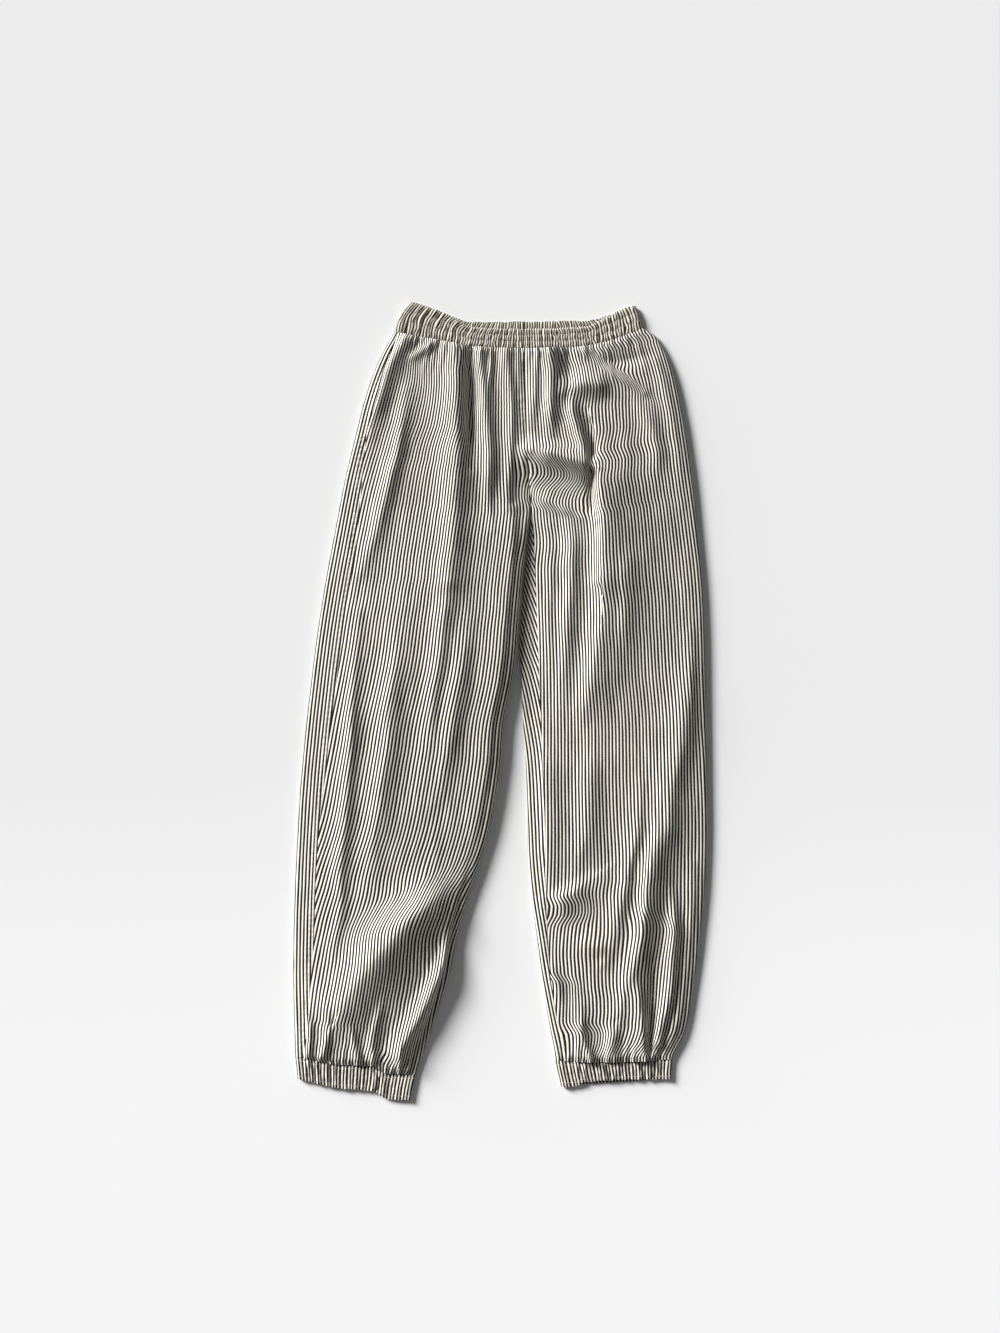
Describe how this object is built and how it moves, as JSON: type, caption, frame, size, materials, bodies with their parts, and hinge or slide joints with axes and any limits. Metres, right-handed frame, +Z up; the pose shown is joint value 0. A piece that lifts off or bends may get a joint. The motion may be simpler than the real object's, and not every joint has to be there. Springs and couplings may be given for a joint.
{
  "type": "corduroy trousers, pull-on, laid flat",
  "caption": "Striped corduroy pull-on trousers with an elastic waistband and cuffs, laid flat with the front side up.",
  "frame": {"origin": "on the surface the trousers lie on, at the middle of their outline", "axes": "+Y towards the waist, +X towards the wearer's left leg, +Z up from the surface"},
  "size_m": [0.5169, 0.9954, 0.0288],
  "materials": {
    "corduroy": "matt",
    "waistband": "matt",
    "cuff": "matt",
    "pocket": "matt"
  },
  "bodies": {
    "root": {"front_right": "corduroy", "front_left": "corduroy", "back_right": "corduroy", "back_left": "corduroy", "waistband_front_right": "waistband", "waistband_front_left": "waistband", "waistband_back_right": "waistband", "waistband_back_left": "waistband", "cuff_right": "cuff", "cuff_left": "cuff", "pocket_facing_right": "pocket"}
  },
  "joints": []
}
